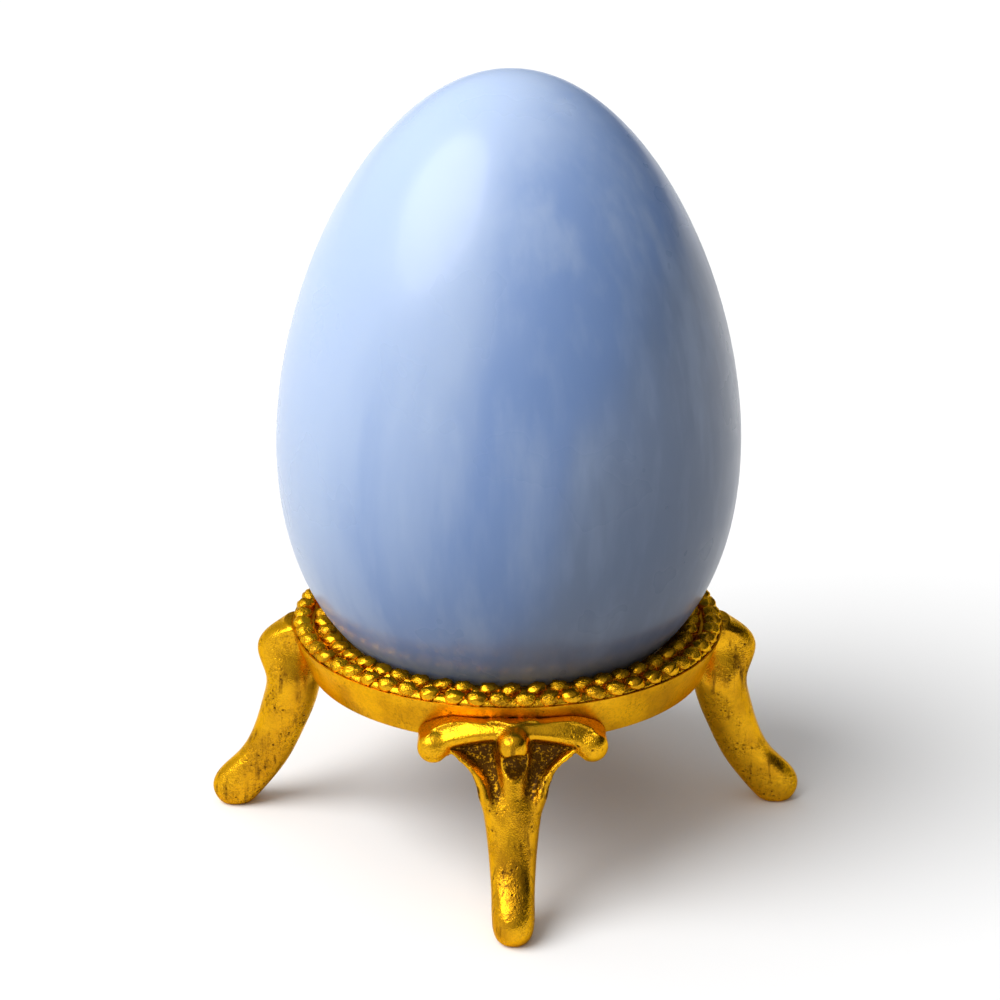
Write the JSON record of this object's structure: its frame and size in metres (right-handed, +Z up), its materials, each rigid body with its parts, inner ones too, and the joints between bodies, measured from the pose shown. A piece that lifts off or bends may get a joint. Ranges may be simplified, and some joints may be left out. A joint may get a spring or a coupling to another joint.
{
  "type": "decorative egg on stand",
  "caption": "Polished stone egg resting loose in a beaded metal collar on cast cabriole legs.",
  "frame": {"origin": "on the egg's upright axis, at the floor under the feet", "axes": "+Z up along the egg, -Y to the front leg, +X to the right leg"},
  "size_m": [0.0642, 0.0642, 0.0797],
  "materials": {
    "blue_stone": "polished, cloudy, faintly translucent",
    "gilt_metal": "cast and gilded, fine grain with small pits"
  },
  "bodies": {
    "stand": {"collar": "gilt_metal", "outer_bead_row": "gilt_metal", "inner_bead_row": "gilt_metal", "leg_front": "gilt_metal", "leg_right": "gilt_metal", "leg_back": "gilt_metal", "leg_left": "gilt_metal"},
    "egg": {"egg": "blue_stone"}
  },
  "joints": [
    {"name": "egg_lift", "type": "slide", "parent": "stand", "child": "egg", "axis": [0, 0, 1], "range_m": [0, 0.03]}
  ]
}
